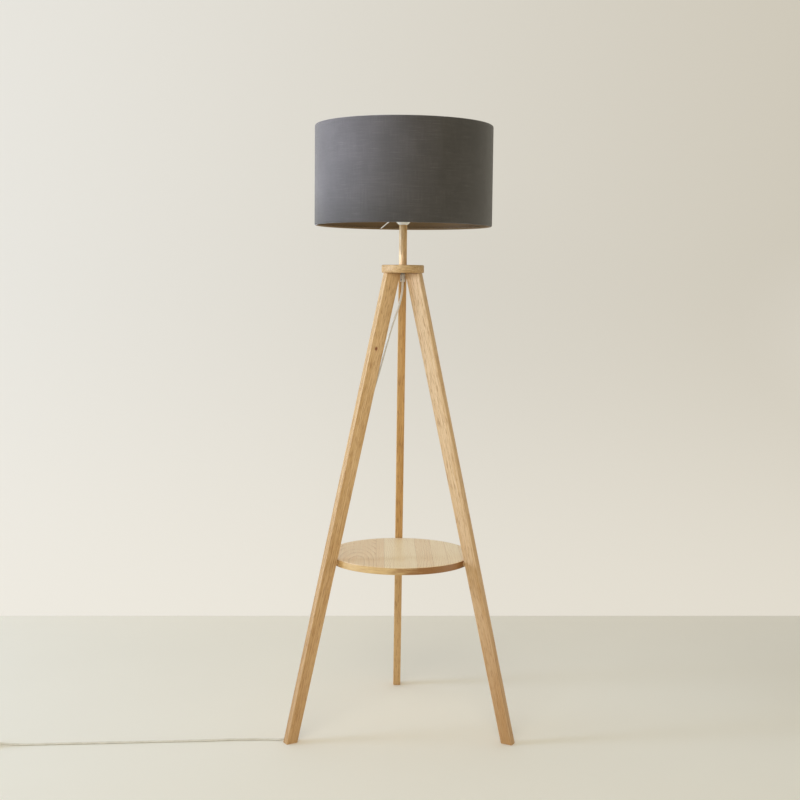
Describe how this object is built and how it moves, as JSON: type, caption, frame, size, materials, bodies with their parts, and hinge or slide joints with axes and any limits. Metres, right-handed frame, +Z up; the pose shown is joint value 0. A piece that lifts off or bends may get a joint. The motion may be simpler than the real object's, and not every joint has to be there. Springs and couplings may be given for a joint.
{
  "type": "tripod floor lamp",
  "caption": "Floor lamp with three splayed wooden legs, a round shelf between them, a short upright, a fabric drum shade and a flex with a foot switch and plug.",
  "frame": {"origin": "on the floor, at the centre of the lamp's box with its cord left out; the lamp's own axis stands 53 mm in front of it, at y = -0.053", "axes": "+Z up; -Y towards the viewer in front of the two front legs; the third leg points to +Y; the cord leaves to -X"},
  "size_m": [1.454, 0.5555, 1.5444],
  "materials": {
    "leg_oak": "sanded and oiled, straight grain along each leg",
    "shelf_oak": "staves glued edge to edge, satin top",
    "grey_linen": "fine plain weave, mid grey, matt",
    "shade_film": "thin backing film, dull brown inside",
    "white_enamel": "white powder coat",
    "white_plastic": "moulded, soft gloss",
    "clear_plastic": "frosted translucent nylon",
    "zinc_steel": "zinc plated",
    "brass": "plain",
    "nickel": "nickel plated, satin",
    "opal_glass": "opal diffuser",
    "flex_plastic": "round sheathed flex, pale grey"
  },
  "bodies": {
    "stand": {"leg_front_left": "leg_oak", "leg_front_right": "leg_oak", "leg_rear": "leg_oak", "head_disc": "leg_oak", "upright_pole": "leg_oak", "leg_dowel_front_left": "leg_oak", "shelf_spacer_front_left": "leg_oak", "shelf_plug_front_left": "leg_oak", "leg_dowel_front_right": "leg_oak", "shelf_spacer_front_right": "leg_oak", "shelf_plug_front_right": "leg_oak", "leg_dowel_rear": "leg_oak", "shelf_spacer_rear": "leg_oak", "shelf_plug_rear": "leg_oak", "shelf": "shelf_oak", "leg_screw_front_left": "zinc_steel", "shelf_screw_front_left": "zinc_steel", "leg_screw_front_right": "zinc_steel", "shelf_screw_front_right": "zinc_steel", "leg_screw_rear": "zinc_steel", "shelf_screw_rear": "zinc_steel", "threaded_tube": "zinc_steel", "tube_washer": "zinc_steel", "tube_nut": "zinc_steel", "cord_grip_screw": "zinc_steel", "cord_grip": "clear_plastic", "lampholder_cap": "white_plastic", "lampholder_shell": "white_plastic", "lampholder_core": "white_plastic", "lampholder_screw_shell": "brass", "lampholder_centre_contact": "brass", "flex_riser": "flex_plastic", "flex_to_switch": "flex_plastic", "flex_to_coil": "flex_plastic", "flex_to_plug": "flex_plastic", "flex_coil": "flex_plastic", "cord_clip_top": "white_plastic", "clip_nail_top": "zinc_steel", "cord_clip_middle": "white_plastic", "clip_nail_middle": "zinc_steel", "cord_clip_bottom": "white_plastic", "clip_nail_bottom": "zinc_steel", "switch_base": "white_plastic", "switch_cover": "white_plastic", "plug_body": "white_plastic", "switch_screw_lamp_side": "zinc_steel", "switch_screw_plug_side": "zinc_steel", "plug_pin_left": "nickel", "plug_pin_right": "nickel"},
    "shade": {"shade_cover": "grey_linen", "shade_liner": "shade_film", "shade_carrier": "white_enamel", "shade_top_ring": "white_enamel"},
    "shade_nut": {"shade_nut": "white_plastic"},
    "bulb": {"bulb_tip": "nickel", "bulb_screw_cap": "nickel", "bulb_neck": "white_plastic", "bulb_globe": "opal_glass"},
    "foot_button": {"switch_button": "white_plastic", "switch_bridge": "brass"}
  },
  "joints": [
    {"name": "shade_swivel", "type": "hinge", "parent": "stand", "child": "shade", "pos_m": [0, -0.05295, 1.3293], "axis": [0, 0, 1], "continuous": true},
    {"name": "shade_nut_turn", "type": "hinge", "parent": "stand", "child": "shade_nut", "pos_m": [0, -0.05295, 1.3309], "axis": [0, 0, 1], "continuous": true},
    {"name": "bulb_turn", "type": "hinge", "parent": "stand", "child": "bulb", "pos_m": [0, -0.05295, 1.3275], "axis": [0, 0, 1], "continuous": true},
    {"name": "switch_press", "type": "slide", "parent": "stand", "child": "foot_button", "axis": [0, 0, -1], "range_m": [0, 0.0025], "stiffness_N_per_m": 800, "springref_m": -0.002}
  ]
}
